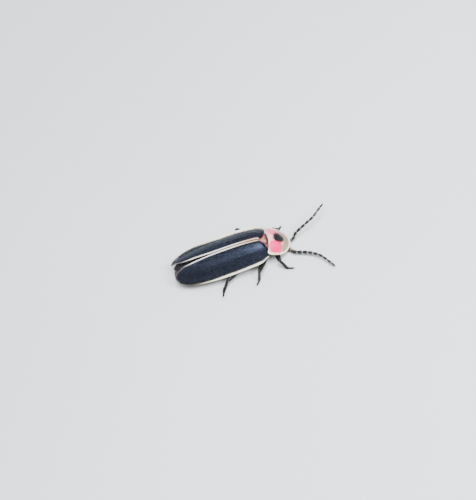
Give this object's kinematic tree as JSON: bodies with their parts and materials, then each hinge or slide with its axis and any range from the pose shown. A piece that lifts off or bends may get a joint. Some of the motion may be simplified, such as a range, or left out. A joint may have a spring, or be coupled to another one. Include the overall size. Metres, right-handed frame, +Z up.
{
  "type": "firefly model",
  "caption": "Life-size still model of an adult firefly standing at rest: long charcoal wing cases with pale margins, a rose and cream shield over the head, and long beaded antennae.",
  "frame": {"origin": "middle of the base of the bounding box, on the floor that the feet stand on", "axes": "+X towards the head, +Y to the animal's left, +Z up"},
  "size_m": [0.0176, 0.0076, 0.0035],
  "materials": {
    "charcoal_wing_case": "velvety charcoal",
    "rose_cream_shield": "translucent rose and cream",
    "russet_plate": "reddish brown",
    "dark_brown_cuticle": "satin dark brown",
    "black_cuticle": "satin black",
    "eye_black": "glossy black",
    "pale_lantern": "waxy pale yellow",
    "smoky_wing": "smoky membrane"
  },
  "bodies": {
    "root": {"elytron_left": "charcoal_wing_case", "elytron_right": "charcoal_wing_case", "hind_wing_left": "smoky_wing", "hind_wing_right": "smoky_wing", "pronotum": "rose_cream_shield", "scutellum": "russet_plate", "prosternum": "dark_brown_cuticle", "mesothorax": "russet_plate", "metathorax": "dark_brown_cuticle", "abdomen_1": "dark_brown_cuticle", "abdomen_2": "dark_brown_cuticle", "abdomen_3": "dark_brown_cuticle", "abdomen_4": "dark_brown_cuticle", "abdomen_5": "dark_brown_cuticle", "abdomen_6": "dark_brown_cuticle", "abdomen_7": "dark_brown_cuticle", "abdomen_8": "dark_brown_cuticle", "lantern_6": "pale_lantern", "lantern_7": "pale_lantern", "head": "dark_brown_cuticle", "eye_left": "eye_black", "eye_right": "eye_black", "mandible_left": "dark_brown_cuticle", "mandible_right": "dark_brown_cuticle", "palp_left": "black_cuticle", "palp_right": "black_cuticle", "antenna_left": "black_cuticle", "antenna_right": "black_cuticle", "coxa_front_left": "dark_brown_cuticle", "femur_front_left": "dark_brown_cuticle", "tibia_front_left": "dark_brown_cuticle", "tarsus_front_left": "black_cuticle", "coxa_front_right": "dark_brown_cuticle", "femur_front_right": "dark_brown_cuticle", "tibia_front_right": "dark_brown_cuticle", "tarsus_front_right": "black_cuticle", "coxa_mid_left": "dark_brown_cuticle", "femur_mid_left": "dark_brown_cuticle", "tibia_mid_left": "dark_brown_cuticle", "tarsus_mid_left": "black_cuticle", "coxa_mid_right": "dark_brown_cuticle", "femur_mid_right": "dark_brown_cuticle", "tibia_mid_right": "dark_brown_cuticle", "tarsus_mid_right": "black_cuticle", "coxa_hind_left": "dark_brown_cuticle", "femur_hind_left": "dark_brown_cuticle", "tibia_hind_left": "dark_brown_cuticle", "tarsus_hind_left": "black_cuticle", "coxa_hind_right": "dark_brown_cuticle", "femur_hind_right": "dark_brown_cuticle", "tibia_hind_right": "dark_brown_cuticle", "tarsus_hind_right": "black_cuticle"}
  },
  "joints": []
}
